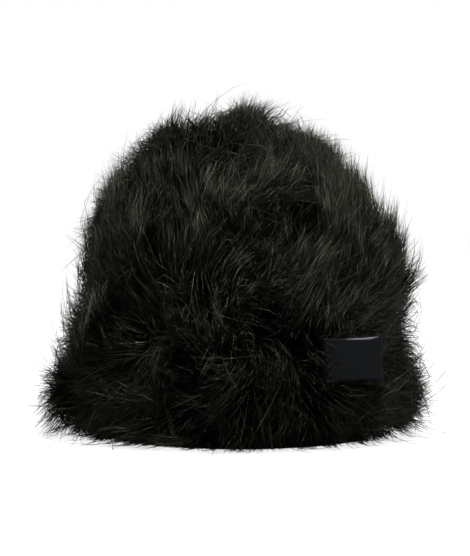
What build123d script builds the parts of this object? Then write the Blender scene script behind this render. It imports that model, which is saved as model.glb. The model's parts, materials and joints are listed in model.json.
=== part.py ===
"""Slip-on furry windscreen for a small stereo microphone.

Six gores of long-pile fur fabric are sewn into a dome. The dome stands on a flat
stretch panel whose turned hem holds an elastic band, and that elastic opening grips
the microphone. A woven loop label is caught in one seam.

Units are millimetres. The origin is the centre of the flat underside, +Z is up, and
-Y is the front. The label hangs in the seam to the right of the front.
"""

import os
from collections import namedtuple
from math import cos, radians, sin, sqrt

from build123d import *

os.makedirs("parts", exist_ok=True)

# ---------------------------------------------------------------- driving dimensions

# Ground fabric: the knitted cloth that carries the pile, measured on its outer face.
ground_waist_radius = 35.0
ground_waist_height = 14.0
ground_crown_radius = 26.0
ground_top = 72.0
ground_cloth = 1.2  # thickness
ground_foot_radius = 1.0  # bend where a gore turns in at the foot

# Pile: the space that the standing hair fills, without its loose tips.
pile_side_depth = 10.5
pile_top_depth = 12.5
pile_waist_height = 10.0
pile_foot_radius = 7.0  # hair spreads over whatever the dome stands on
pile_parting_radius = 2.0  # hair falls away to both sides of a seam

# Gores and their seams. Angles are about +Z, counted from +X.
label_seam_angle = -63.0
seam_allowance = 4.0  # how far the sewn edges turn into the dome
seam_gap = 0.2  # between the two cloths of a seam

# Stretch panel under the dome, with the turned hem round the opening.
panel_cloth = 0.8
opening_radius = 17.5
hem_foot = 3.5  # flat edge of the hem that is stitched down
hem_bend_radius = 1.0  # of the panel's middle line
hem_foot_lift = 0.2  # between the stitched edge and the panel

# Elastic band in the hem. Its ends lie over each other and are sewn together.
elastic_thickness = 0.7
elastic_width = 6.5
elastic_lap = 34.0  # degrees that the ends share
elastic_ramp = 20.0  # degrees in which the outer end climbs onto the inner one
lap_row_count = 4  # rows of stitches across the lap

# Sewing thread, as thick as its stitches lie.
thread = 0.4
overlock_bite = 2.0  # how far the loops reach over a raw edge
overlock_start = 2.0  # from the foot of a side seam's edges to its first loop
hem_stitch_count = 32
hem_stitch_length = 2.8

# Woven label: a ribbon folded into a loop.
label_base = 18.0
label_height = 11.0
label_length = 15.6  # from the crease to the middle of the fold
label_ribbon = 0.3  # thickness
label_crease_bend = 0.2  # inner radius where the ribbon bends out of the pile
label_fold_bend = 0.7  # inner radius at the far end of the loop

# Clearances.
seat = 0.1  # between pieces that are sewn or laid on each other
pile_gap = 0.15  # between the ground fabric and the pile's solid
hinge_gap = 0.2  # between the label's fixed and swinging parts
swing_gap = 0.3  # between the swinging label and the pile

# ------------------------------------------------------------------ derived dimensions

gore_names = ("front", "front_right", "rear_right", "rear", "rear_left", "front_left")
gore_angle = 360 / len(gore_names)

pile_waist_radius = ground_waist_radius + pile_side_depth
pile_crown_radius = ground_crown_radius + pile_side_depth
pile_top = ground_top + pile_top_depth

# Base seam, from the floor up: panel, lower loops, panel's turned edge, gores, upper loops.
rim_fold_radius = (panel_cloth + thread + 2 * seat) / 2
turned_edge_z = panel_cloth / 2 + 2 * rim_fold_radius
gore_foot_z = turned_edge_z + panel_cloth / 2 + seat
base_loops_bottom = panel_cloth + seat
base_loops_top = gore_foot_z + ground_cloth + seat + thread
side_edges_foot = base_loops_top + seat
side_loops_foot = side_edges_foot + overlock_start
rim_fold_x = ground_waist_radius - panel_cloth / 2 - rim_fold_radius

# Insets are measured from the ground fabric's outer face.
raw_edge_inset = ground_cloth + seam_allowance
raw_edge_radius = ground_waist_radius - raw_edge_inset
loops_inner_inset = raw_edge_inset + seat + thread
loops_slot = seam_gap / 2 + ground_cloth + seat  # half the space between a side seam's loops
loops_half_width = loops_slot + thread
loops_crown_clear = loops_half_width / sin(radians(gore_angle / 2)) + seat

# Hem and elastic, from the opening outwards.
hem_inner_line = opening_radius + panel_cloth / 2
elastic_inner_radius = opening_radius + panel_cloth + seat
elastic_step = elastic_thickness + seat
lap_outer_radius = elastic_inner_radius + elastic_step + elastic_thickness
hem_outer_line = lap_outer_radius + seat + thread + seat + panel_cloth / 2
hem_fold_radius = (hem_outer_line - hem_inner_line) / 2
hem_foot_z = panel_cloth + hem_foot_lift + panel_cloth / 2
hem_stitch_radius = hem_outer_line + (hem_bend_radius + hem_foot) / 2
elastic_base = panel_cloth / 2 + hem_bend_radius
hem_fold_z = elastic_base + elastic_width + seat
lap_row_pitch = elastic_lap / (lap_row_count + 1)

# Label. Its two ends lie together in the seam, one ribbon on each side of its plane.
crease_outer_radius = label_crease_bend + label_ribbon
pile_parting = label_ribbon + seat  # from a seam's plane to the hair beside it

# --------------------------------------------------------------------- dome outlines

Outline = namedtuple("Outline", "waist_z side_x side_r crown_z crown_r blend_angle")


def outline(waist_radius, waist_z, crown_radius, top):
    """A dome's half outline: an upright foot, a long side arc and a tighter crown arc.

    The side arc is upright at the waist and runs into the crown arc without a corner.
    """
    rise = top - crown_radius - waist_z
    side_r = (rise**2 + waist_radius**2 - crown_radius**2) / (2 * (waist_radius - crown_radius))
    side_x = waist_radius - side_r
    blend_angle = Vector(-side_x, rise).get_angle(Vector(1, 0))
    return Outline(waist_z, side_x, side_r, top - crown_radius, crown_radius, blend_angle)


def inset(dome, distance):
    """The outline moved in by a distance, or out by a negative one."""
    return dome._replace(side_r=dome.side_r - distance, crown_r=dome.crown_r - distance)


def radius_at(dome, z):
    """Distance from the axis to the outline's side arc at a height above the waist."""
    return dome.side_x + sqrt(dome.side_r**2 - (z - dome.waist_z) ** 2)


def dome_section(dome, foot_z):
    """Half section of a solid dome that stands at foot_z."""
    with BuildSketch(Plane.XZ) as section:
        with BuildLine():
            CenterArc((dome.side_x, dome.waist_z), dome.side_r, 0, dome.blend_angle)
            CenterArc((0, dome.crown_z), dome.crown_r, dome.blend_angle, 90 - dome.blend_angle)
            Polyline(
                (0, dome.crown_z + dome.crown_r),
                (0, foot_z),
                (dome.side_x + dome.side_r, foot_z),
                (dome.side_x + dome.side_r, dome.waist_z),
            )
        make_face()
    return section.sketch


def gore_plan(side_inset):
    """Plan of one gore about +X, its sides moved in from the two seams' planes."""
    reach = 2 * pile_waist_radius
    half = radians(gore_angle / 2)
    tip = side_inset / sin(half)
    with BuildSketch() as plan:
        Polygon(
            (tip, 0),
            (tip + reach * cos(half), -reach * sin(half)),
            (tip + reach * cos(half), reach * sin(half)),
            align=None,
        )
    return plan.sketch


def loops_section(outer_inset):
    """Section, in a seam's plane, of what lies along the seam's raw edges."""
    with BuildSketch(Plane.XZ) as section:
        add(dome_section(inset(ground, outer_inset), side_loops_foot))
        with Locations((loops_crown_clear, side_loops_foot)):
            Rectangle(
                ground_waist_radius,
                ground_top,
                align=(Align.MIN, Align.MIN),
                mode=Mode.INTERSECT,
            )
    return section.sketch


ground = outline(ground_waist_radius, ground_waist_height, ground_crown_radius, ground_top)
pile = outline(pile_waist_radius, pile_waist_height, pile_crown_radius, pile_top)

hinge_radius = radius_at(pile, label_base) + swing_gap + crease_outer_radius
tab_end_radius = hinge_radius - crease_outer_radius - hinge_gap

# ----------------------------------------------------------------------- dome pieces

# The label's ribbon presses the two edges of its seam apart.
with BuildPart() as label_slot:
    with BuildSketch(Plane.XY.offset(label_base - seat)):
        Rectangle(ground_waist_radius + pile_gap, 2 * pile_parting, align=(Align.MIN, Align.CENTER))
    extrude(amount=label_height + 2 * seat)

# A ground fabric gore about +X: a thick wall, pocketed so that only its skin and the
# edges that turn into the dome are left. The side edges stop above the base seam.
with BuildPart() as ground_pocket:
    revolve(dome_section(inset(ground, ground_cloth), gore_foot_z + ground_cloth))
    extrude(gore_plan(seam_gap / 2 + ground_cloth), amount=ground_top, mode=Mode.INTERSECT)
    with BuildSketch(Plane.XY.offset(gore_foot_z + ground_cloth)):
        Circle(ground_waist_radius - ground_cloth)
    extrude(amount=side_edges_foot - gore_foot_z - ground_cloth)

with BuildPart() as ground_blank:
    revolve(dome_section(ground, gore_foot_z))
    fillet(edges().group_by(Axis.Z)[0], ground_foot_radius)
    revolve(dome_section(inset(ground, raw_edge_inset), gore_foot_z), mode=Mode.SUBTRACT)
    extrude(gore_plan(seam_gap / 2), amount=ground_top, mode=Mode.INTERSECT)
    add(ground_pocket.part, mode=Mode.SUBTRACT)

# The pile of one gore, rounded where its hair falls away to the seams.
with BuildPart() as pile_blank:
    revolve(dome_section(pile, 0))
    fillet(edges().group_by(Axis.Z)[0], pile_foot_radius)
    extrude(gore_plan(pile_parting), amount=pile_top, mode=Mode.INTERSECT)
    parting_faces = faces().filter_by(GeomType.PLANE) - faces().group_by(Axis.Z)[0]
    fillet(
        parting_faces.edges() - edges().group_by(Axis.Z)[0] - edges().group_by(Axis.X)[0],
        pile_parting_radius,
    )
    revolve(dome_section(inset(ground, -pile_gap), 0), mode=Mode.SUBTRACT)

# Overlock loops wrap the two raw edges of a seam inside the dome.
with BuildPart() as loops_blank:
    extrude(loops_section(raw_edge_inset - overlock_bite), amount=loops_half_width, both=True)
    extrude(loops_section(loops_inner_inset), amount=loops_half_width, both=True, mode=Mode.SUBTRACT)
    extrude(
        loops_section(raw_edge_inset - overlock_bite) - loops_section(raw_edge_inset + seat),
        amount=loops_slot,
        both=True,
        mode=Mode.SUBTRACT,
    )

for count, side in enumerate(gore_names):
    gore_turn = label_seam_angle + (count - 0.5) * gore_angle
    seam_turn = label_seam_angle + count * gore_angle

    with BuildPart() as ground_gore:
        add(ground_blank.part, rotation=(0, 0, gore_turn))
        add(label_slot.part, rotation=(0, 0, label_seam_angle), mode=Mode.SUBTRACT)
    ground_gore.part.label = f"ground_{side}"
    export_step(ground_gore.part, f"parts/ground_{side}.step")

    with BuildPart() as pile_gore:
        add(pile_blank.part, rotation=(0, 0, gore_turn))
    pile_gore.part.label = f"pile_{side}"
    export_step(pile_gore.part, f"parts/pile_{side}.step")

    # A seam is named after the gore on its left, as seen from outside.
    with BuildPart() as seam_loops:
        add(loops_blank.part, rotation=(0, 0, seam_turn))
    seam_loops.part.label = f"seam_overlock_{side}"
    export_step(seam_loops.part, f"parts/seam_overlock_{side}.step")

# ----------------------------------------------------------------- base panel and hem

# One cloth: its rim folds up and in for the base seam, and its inner edge turns up,
# over the elastic and down again onto the panel.
with BuildPart() as base_panel:
    with BuildSketch(Plane.XZ):
        with BuildLine():
            rim = CenterArc((rim_fold_x, panel_cloth / 2 + rim_fold_radius), rim_fold_radius, -90, 180)
            Line((raw_edge_radius, turned_edge_z), rim @ 1)
            FilletPolyline(
                rim @ 0,
                (hem_inner_line, panel_cloth / 2),
                (hem_inner_line, hem_fold_z),
                radius=hem_bend_radius,
            )
            CenterArc((hem_inner_line + hem_fold_radius, hem_fold_z), hem_fold_radius, 0, 180)
            FilletPolyline(
                (hem_outer_line, hem_fold_z),
                (hem_outer_line, hem_foot_z),
                (hem_outer_line + hem_foot, hem_foot_z),
                radius=hem_bend_radius,
            )
        trace(line_width=panel_cloth)
    revolve()
base_panel.part.label = "base_panel"
export_step(base_panel.part, "parts/base_panel.step")

# Overlock loops round the raw edges of the base seam.
with BuildPart() as base_loops:
    with BuildSketch(Plane.XZ):
        with Locations((raw_edge_radius + overlock_bite, base_loops_bottom)):
            Rectangle(
                overlock_bite + seat + thread,
                base_loops_top - base_loops_bottom,
                align=(Align.MAX, Align.MIN),
            )
        with Locations((raw_edge_radius + overlock_bite, base_loops_bottom + thread)):
            Rectangle(
                overlock_bite + seat,
                base_loops_top - base_loops_bottom - 2 * thread,
                align=(Align.MAX, Align.MIN),
                mode=Mode.SUBTRACT,
            )
    revolve()
base_loops.part.label = "base_seam_overlock"
export_step(base_loops.part, "parts/base_seam_overlock.step")

# Dashes of thread that hold the hem's foot down on the panel.
with BuildPart() as hem_stitching:
    with BuildSketch(Plane.XY.offset(hem_foot_z + panel_cloth / 2)):
        with PolarLocations(hem_stitch_radius, hem_stitch_count):
            Rectangle(thread, hem_stitch_length)
    extrude(amount=thread)
hem_stitching.part.label = "hem_stitching"
export_step(hem_stitching.part, "parts/hem_stitching.step")

# ----------------------------------------------------------------------- elastic band

elastic_line = elastic_inner_radius + elastic_thickness / 2
lap_line = elastic_line + elastic_step

with BuildPart() as elastic_band:
    with BuildSketch(Plane.XY.offset(elastic_base)):
        with BuildLine():
            inner_run = CenterArc((0, 0), elastic_line, 0, 360 - elastic_ramp)
            outer_run = CenterArc((0, 0), lap_line, 0, elastic_lap)
            Spline(inner_run @ 1, outer_run @ 0, tangents=(inner_run % 1, outer_run % 0))
        trace(line_width=elastic_thickness)
    extrude(amount=elastic_width)
elastic_band.part.label = "elastic_band"
export_step(elastic_band.part, "parts/elastic_band.step")

# Rows of stitches that join the band's ends, standing on the outer one.
with BuildPart() as elastic_lap_stitches:
    with BuildSketch(Plane.XY.offset(elastic_base + thread)):
        with PolarLocations(
            lap_outer_radius + thread / 2,
            lap_row_count,
            start_angle=lap_row_pitch,
            angular_range=lap_row_pitch * lap_row_count,
        ):
            Rectangle(thread, thread)
    extrude(amount=elastic_width - 2 * thread)
elastic_lap_stitches.part.label = "elastic_lap_stitches"
export_step(elastic_lap_stitches.part, "parts/elastic_lap_stitches.step")

# ------------------------------------------------------------------------ woven label

# The ribbon's two ends lie together in the seam, and come out through the pile.
with BuildPart() as label_tab:
    with BuildSketch(Plane.XY.offset(label_base)):
        with Locations((raw_edge_radius, 0)):
            Rectangle(
                tab_end_radius - raw_edge_radius,
                2 * label_ribbon,
                align=(Align.MIN, Align.CENTER),
            )
    extrude(amount=label_height)

with BuildPart() as seated_tab:
    add(label_tab.part, rotation=(0, 0, label_seam_angle))
seated_tab.part.label = "label_tab"
export_step(seated_tab.part, "parts/label_tab.step")

# The loop swings about its crease, where the ribbon bends out of the pile. At rest it
# lies along the pile, square to the seam.
with BuildPart() as label_loop:
    with BuildSketch(Plane.XY.offset(label_base)):
        for thickness, mode in ((label_ribbon, Mode.ADD), (0, Mode.SUBTRACT)):
            with BuildSketch(mode=mode):
                with Locations((hinge_radius, 0)):
                    Circle(label_crease_bend + thickness)
                with Locations((hinge_radius, label_length)):
                    Circle(label_fold_bend + thickness)
                make_hull()
    extrude(amount=label_height)

with BuildPart() as label_flap:
    add(label_loop.part, rotation=(0, 0, label_seam_angle))
label_flap.part.label = "label_flap"
export_step(label_flap.part, "parts/label_flap.step")
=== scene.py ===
"""Dresses the furry windscreen: a sewn dome of long black pile with a woven loop label.

The hair is modelled strand by strand. Each strand is a tapered closed tube whose centre
line is worked out with numpy. Strands gather into bundles, wisps and locks, part along
the seams and lie flat where they meet the floor.

Lengths are metres, in the frame's own axes: +Z up, -Y to the front.
"""

import json
from collections import namedtuple

import bpy
import numpy as np
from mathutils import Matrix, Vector


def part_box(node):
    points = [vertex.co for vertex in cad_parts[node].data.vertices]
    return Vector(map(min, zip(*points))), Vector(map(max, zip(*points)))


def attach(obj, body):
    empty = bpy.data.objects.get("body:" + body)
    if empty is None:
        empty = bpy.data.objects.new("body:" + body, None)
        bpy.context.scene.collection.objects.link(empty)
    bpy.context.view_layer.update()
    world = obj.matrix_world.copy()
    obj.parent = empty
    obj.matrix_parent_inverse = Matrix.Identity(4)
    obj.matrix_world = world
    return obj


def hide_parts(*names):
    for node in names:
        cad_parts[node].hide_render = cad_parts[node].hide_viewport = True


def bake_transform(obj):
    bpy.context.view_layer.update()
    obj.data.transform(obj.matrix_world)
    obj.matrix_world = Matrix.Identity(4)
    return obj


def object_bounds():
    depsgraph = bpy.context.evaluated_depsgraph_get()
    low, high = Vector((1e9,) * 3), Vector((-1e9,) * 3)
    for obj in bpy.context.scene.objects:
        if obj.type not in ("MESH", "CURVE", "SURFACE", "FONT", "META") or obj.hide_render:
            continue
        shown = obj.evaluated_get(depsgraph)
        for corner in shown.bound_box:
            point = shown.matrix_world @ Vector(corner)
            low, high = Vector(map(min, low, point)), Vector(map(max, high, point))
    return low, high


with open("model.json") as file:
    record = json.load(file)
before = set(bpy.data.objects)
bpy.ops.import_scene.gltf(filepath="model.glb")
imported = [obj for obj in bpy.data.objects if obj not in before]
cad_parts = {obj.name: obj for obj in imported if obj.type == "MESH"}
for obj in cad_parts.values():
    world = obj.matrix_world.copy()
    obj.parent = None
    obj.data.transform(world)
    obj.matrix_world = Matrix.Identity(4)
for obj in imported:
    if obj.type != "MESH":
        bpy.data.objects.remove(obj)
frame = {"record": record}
CAD_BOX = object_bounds()

bl_info = {
    "name": "Furry windscreen",
    "version": (1, 0, 0),
    "blender": (4, 5, 0),
    "location": "3D View > Sidebar > Windscreen",
    "description": "Long pile, knit, thread and label of a slip-on microphone windscreen",
    "category": "Mesh",
}

MM = 0.001
UP = np.array([0.0, 0.0, 1.0])
GORES = ("front", "front_right", "rear_right", "rear", "rear_left", "front_left")


# ------------------------------------------------------------------ settings


def length_setting(name, default, description):
    """A setting that holds a length in metres."""
    return bpy.props.FloatProperty(
        name=name, description=description, default=default, unit="LENGTH"
    )


def count_setting(name, default, description):
    """A setting that holds a whole number."""
    return bpy.props.IntProperty(name=name, description=description, default=default)


def colour_setting(name, default, description):
    """A setting that holds a colour."""
    return bpy.props.FloatVectorProperty(
        name=name, description=description, default=default, size=3, subtype="COLOR"
    )


class WindscreenCut(bpy.types.PropertyGroup):
    """The cut of the sewn dome, as the cloth's outer face and the standing pile have it."""

    waist_height: length_setting("Waist height", 0.014, "Where the cloth is widest")
    crown_radius: length_setting("Crown radius", 0.026, "Radius of the cloth's crown")
    pile_waist_height: length_setting("Pile waist height", 0.010, "Where the pile is widest")
    tip_zone: length_setting(
        "Tip zone", 0.002, "How far the guard hairs stand out of the pile's body"
    )
    pile_foot_radius: length_setting(
        "Pile foot radius", 0.006, "Rounding of the pile at the floor"
    )
    label_seam: bpy.props.FloatProperty(
        name="Label seam",
        description="Plan angle of the seam that holds the label, from +X",
        default=np.radians(-63.0),
        subtype="ANGLE",
    )


class WindscreenPile(bpy.types.PropertyGroup):
    """The long-pile fur."""

    underfur_count: count_setting("Underfur", 5000, "Short hairs on each gore")
    guard_count: count_setting("Guard hairs", 6600, "Long hairs on each gore")
    loose_count: count_setting("Loose hairs", 1300, "Stray hairs on each gore")
    thickness: length_setting("Thickness", 0.00025, "Of a guard hair near its root")
    lock_spacing: length_setting("Lock spacing", 0.0075, "Between the middles of two locks")
    wisp_spacing: length_setting("Wisp spacing", 0.0032, "Between the wisps in a lock")
    bundle_spacing: length_setting("Bundle spacing", 0.0014, "Between the bundles in a wisp")
    whorl: bpy.props.FloatVectorProperty(
        name="Whorl",
        description="Place inside the dome that the hair is brushed away from",
        size=3,
        default=(0.0110, -0.0279, 0.0290),
        subtype="XYZ",
        unit="LENGTH",
    )
    # Painted shade and light: the root colour darkens the hair where the pile's hollows shade it,
    # and the tip colour lightens it where the tips catch the light.
    shaded_root_colour: colour_setting("Root colour", (0.0006, 0.0006, 0.0006), "Near the cloth")
    lit_tip_colour: colour_setting("Tip colour", (0.0070, 0.0074, 0.0050), "At the tips")


class WindscreenCloth(bpy.types.PropertyGroup):
    """The knitted cloths, the elastic and the sewing thread."""

    ground_thickness: length_setting("Ground thickness", 0.0012, "Cloth that carries the pile")
    seam_allowance: length_setting("Seam allowance", 0.004, "How far sewn edges turn in")
    panel_thickness: length_setting("Panel thickness", 0.0008, "Stretch cloth under the dome")
    gather_count: count_setting(
        "Gathers", 44, "Folds that the elastic draws round the opening"
    )
    gather_depth: length_setting(
        "Gather depth", 0.00045, "Height of the folds at the opening"
    )
    thread_thickness: length_setting("Thread thickness", 0.0003, "Of the sewing thread")
    loop_pitch: length_setting(
        "Overlock pitch", 0.0022, "From one overlock loop to the next"
    )
    stitch_count: count_setting("Hem stitches", 32, "Stitches round the hem")
    stitch_length: length_setting("Stitch length", 0.0028, "Of one hem stitch")
    wale_pitch: length_setting("Wale pitch", 0.00085, "Width of one column of knit stitches")
    ground_colour: colour_setting("Ground colour", (0.018, 0.018, 0.019), "Backing knit")
    panel_colour: colour_setting("Panel colour", (0.020, 0.020, 0.022), "Stretch knit")
    thread_colour: colour_setting("Thread colour", (0.030, 0.030, 0.032), "Sewing thread")
    elastic_colour: colour_setting("Elastic colour", (0.030, 0.030, 0.030), "Braided elastic")


class WindscreenLabel(bpy.types.PropertyGroup):
    """The woven ribbon that is folded into a loop and caught in a seam."""

    thickness: length_setting("Thickness", 0.0003, "Of the ribbon")
    bow: length_setting("Bow", 0.0006, "How far the outer leaf stands off")
    skew: length_setting("Skew", 0.00035, "How much lower the outer leaf ends at the fold")
    fold_radius: length_setting("Fold radius", 0.001, "Outside of the loop at its far end")
    face_colour: colour_setting("Face colour", (0.0017, 0.0030, 0.0044), "Satin face")
    reverse_colour: colour_setting("Reverse colour", (0.30, 0.31, 0.33), "Paler reverse")


# ------------------------------------------------------------------ the sewn dome


def named(rows, name):
    """The row of that name in a list of the frame's record."""
    return next(row for row in rows if row["name"] == name)


def opening_radius():
    """Radius of the elastic opening, from the frame's record of the mount."""
    return named(frame["record"]["mounts"], "mic_opening")["dims"]["r_mm"] * MM


def levels(node):
    """Heights of a frame node's underside and top."""
    low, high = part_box(node)
    return low[2], high[2]


def stand_in(piece, node):
    """Puts a piece in the place of a frame node, on the cover."""
    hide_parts(node)
    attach(piece, "cover")


class Dome:
    """A dome turned about +Z: an upright foot, a side arc and a tighter crown arc.

    The side arc is upright at the waist and runs into the crown arc without a corner.
    """

    def __init__(self, waist_radius, waist_z, crown_radius, top, foot_z, foot_r=0.0):
        rise = top - crown_radius - waist_z
        self.foot_z, self.foot_r = foot_z, foot_r
        self.waist_z, self.waist_r = waist_z, waist_radius
        self.side_r = (rise**2 + waist_radius**2 - crown_radius**2) / (
            2 * (waist_radius - crown_radius)
        )
        self.side_x = waist_radius - self.side_r
        self.crown_z, self.crown_r = top - crown_radius, crown_radius
        self.turn = np.arctan2(rise, -self.side_x)
        self.foot_length = waist_z - foot_z
        self.side_length = self.side_r * self.turn
        crown_length = crown_radius * (np.pi / 2 - self.turn)
        self.length = self.foot_length + self.side_length + crown_length

    def outline(self, run):
        """Radius, height and tilt of the outward normal after a run up the outline."""
        on_side = np.clip(run - self.foot_length, 0, self.side_length) / self.side_r
        on_crown = np.clip(run - self.foot_length - self.side_length, 0, None) / self.crown_r
        tilt = on_side + on_crown
        crown = on_crown > 0
        radius = np.where(
            crown, self.crown_r * np.cos(tilt), self.side_x + self.side_r * np.cos(tilt)
        )
        height = np.where(
            crown,
            self.crown_z + self.crown_r * np.sin(tilt),
            self.waist_z + self.side_r * np.sin(tilt),
        )
        height = np.where(run < self.foot_length, self.foot_z + run, height)
        return radius, height, tilt

    def place(self, run, azimuth):
        """Points on the dome and their outward normals."""
        radius, height, tilt = self.outline(run)
        return polar(radius, azimuth, height), polar(np.cos(tilt), azimuth, np.sin(tilt))

    def height_over(self, points):
        """Signed distance of points from the dome, positive outside."""
        radius = np.hypot(points[..., 0], points[..., 1])
        z = points[..., 2]
        side = np.hypot(radius - self.side_x, z - self.waist_z) - self.side_r
        crown = np.hypot(radius, z - self.crown_z) - self.crown_r
        on_crown = np.arctan2(z - self.waist_z, radius - self.side_x) > self.turn
        core = np.maximum(radius - self.waist_r + self.foot_r, 0)
        foot = np.hypot(core, np.maximum(self.foot_z + self.foot_r - z, 0)) - self.foot_r
        return np.where(z < self.waist_z, foot, np.where(on_crown, crown, side))


def cloth_dome():
    """The outer face of the ground cloth, from the frame's boxes and the cut."""
    cut = bpy.context.scene.windscreen_cut
    foot, top = levels("ground_front")
    return Dome(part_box("base_panel")[1][0], cut.waist_height, cut.crown_radius, top, foot)


def pile_dome():
    """The outside of the guard hairs: the cloth's outline, moved out past the frame's box."""
    cut = bpy.context.scene.windscreen_cut
    waist, top = CAD_BOX[1][0] + cut.tip_zone, CAD_BOX[1][2] + cut.tip_zone
    crown = cut.crown_radius + waist - cloth_dome().waist_r
    return Dome(waist, cut.pile_waist_height, crown, top, 0.0, cut.pile_foot_radius)


# ------------------------------------------------------------------ mesh making


def unit(vectors):
    """The vectors at length 1."""
    return vectors / np.maximum(np.linalg.norm(vectors, axis=-1, keepdims=True), 1e-12)


def polar(radius, angle, height):
    """Points at a radius and plan angle about +Z, and at a height."""
    places = radius * np.cos(angle), radius * np.sin(angle), height
    return np.stack(np.broadcast_arrays(*places), -1)


def put_mesh(name, points, corners, sizes, uv_name, uv, materials):
    """Puts arrays into a new mesh object that shades smooth.

    corners holds the vertex numbers of all faces, one face after the other, and sizes how
    many each face has. uv holds one pair for each corner.
    """
    mesh = bpy.data.meshes.new(name)
    mesh.vertices.add(len(points))
    mesh.vertices.foreach_set("co", points.astype(np.float32).ravel())
    mesh.loops.add(len(corners))
    mesh.loops.foreach_set("vertex_index", corners.astype(np.int32).ravel())
    mesh.polygons.add(len(sizes))
    mesh.polygons.foreach_set("loop_start", (np.cumsum(sizes) - sizes).astype(np.int32))
    mesh.polygons.foreach_set("use_smooth", np.ones(len(sizes), bool))
    mesh.update(calc_edges=True)
    layer = mesh.uv_layers.new(name=uv_name)
    layer.data.foreach_set("uv", uv.astype(np.float32).ravel())
    for material in materials:
        mesh.materials.append(material)
    piece = bpy.data.objects.new(name, mesh)
    bpy.context.scene.collection.objects.link(piece)
    return piece


def shells(name, grids, cloth_uv, materials, ring=False, slots=None):
    """One mesh of closed shells, each a grid of points whose columns run round it.

    grids has the shape (shells, rows, columns, 3). Neighbouring rows and columns make
    quads, and the last column joins the first. So does the last row if ring is set, and
    otherwise one face closes each end. The faces are turned so that each shell's signed
    volume is positive. cloth_uv holds one pair for each row and column, with one more of
    both. slots is for a shell that isn't a ring, one material number for each column.
    """
    count, m, n = grids.shape[:3]
    i, j = np.meshgrid(np.arange(m if ring else m - 1), np.arange(n), indexing="ij")
    i_next, j_next = (i + 1) % m, (j + 1) % n
    quads = [i * n + j, i * n + j_next, i_next * n + j_next, i_next * n + j]
    quads = np.stack(quads, -1).reshape(-1, 4)
    a, b, c, d = (grids[0] - grids[0].mean((0, 1))).reshape(-1, 3)[quads].swapaxes(0, 1)
    turn = -1 if np.einsum("ij,ij->", a, np.cross(b, c) + np.cross(c, d)) < 0 else 1
    pattern, sizes = quads[:, ::turn].ravel(), np.full(len(quads), 4)
    uv = [cloth_uv[i, j], cloth_uv[i, j + 1], cloth_uv[i + 1, j + 1], cloth_uv[i + 1, j]]
    uv = np.stack(uv, -2).reshape(-1, 4, 2)[:, ::turn].reshape(-1, 2)
    if not ring:
        ends = np.concatenate([np.arange(n)[::-turn], (m - 1) * n + np.arange(n)[::turn]])
        pattern, sizes = np.concatenate([pattern, ends]), np.concatenate([sizes, [n, n]])
        uv = np.concatenate([uv, cloth_uv[:m, :n].reshape(-1, 2)[ends]])
    corners = (pattern + np.arange(count)[:, None] * m * n).ravel()
    uv, sizes = np.tile(uv, (count, 1)), np.tile(sizes, count)
    piece = put_mesh(name, grids.reshape(-1, 3), corners, sizes, "cloth", uv, materials)
    if slots is not None:
        numbers = np.tile(np.concatenate([np.tile(slots, m - 1), slots[:2]]), count)
        piece.data.polygons.foreach_set("material_index", numbers.astype(np.int32))
    return piece


def sweep(path, section, upright):
    """A section carried along a path, as a grid of points.

    Every row holds the section's points: its first number to the side, which is the cross
    product of the path's heading and the upright way, and its second along the cross
    product of that side and the heading.
    """
    along = unit(np.gradient(path, axis=-2))
    side = unit(np.cross(along, np.broadcast_to(upright, along.shape)))
    rise = np.cross(side, along)
    return (
        path[..., None, :]
        + side[..., None, :] * section[..., 0, None]
        + rise[..., None, :] * section[..., 1, None]
    )


def round_section(radius, sides):
    """A regular polygon's corners."""
    angles = np.arange(sides) * 2 * np.pi / sides
    return radius * np.stack([np.cos(angles), np.sin(angles)], -1)


def soft_line(points, count):
    """A cubic B-spline that starts and ends at the first and last of its points.

    Each place on it is the mean of four neighbours with the weights (1-t)^3,
    3t^3-6t^2+4, -3t^3+3t^2+3t+1 and t^3, over 6. The places are evenly spaced.
    """
    before, after = 2 * points[:1] - points[1:2], 2 * points[-1:] - points[-2:-1]
    points = np.concatenate([before, points, after])
    run = np.linspace(0, len(points) - 3, count * 8)
    first = np.minimum(run.astype(int), len(points) - 4)
    t = (run - first)[:, None]
    weights = ((1 - t) ** 3, 3 * t**3 - 6 * t**2 + 4, -3 * t**3 + 3 * t**2 + 3 * t + 1, t**3)
    line = sum(weight * points[first + k] for k, weight in enumerate(weights)) / 6
    length = run_length(line)
    even = np.linspace(0, length[-1], count)
    return np.stack([np.interp(even, length, line[:, k]) for k in range(line.shape[1])], -1)


def run_length(line):
    """Length of a line from its start to each of its points, by adding up its steps."""
    steps = np.linalg.norm(np.diff(line, axis=0), axis=1)
    return np.concatenate([[0.0], np.cumsum(steps)])


def cloth_outline(middle, thickness):
    """Closed outline of a cloth's cut edge: its middle line moved to both sides.

    The half thickness shrinks to nothing over the first and last points, like the root of
    the distance from the end, so that the edges are round.
    """
    along = unit(np.gradient(middle, axis=0))
    across = np.stack([-along[:, 1], along[:, 0]], -1)
    run = run_length(middle)
    end = np.minimum(run, run[-1] - run) / (0.5 * thickness)
    end = np.minimum(end, 1)
    off = (0.5 * thickness * np.sqrt(end * (2 - end)))[:, None] * across
    return np.concatenate([middle + off, (middle - off)[-2:0:-1]])


# Width in u of a hair's UV strip.
STRIP_WIDTH = 0.004


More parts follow.
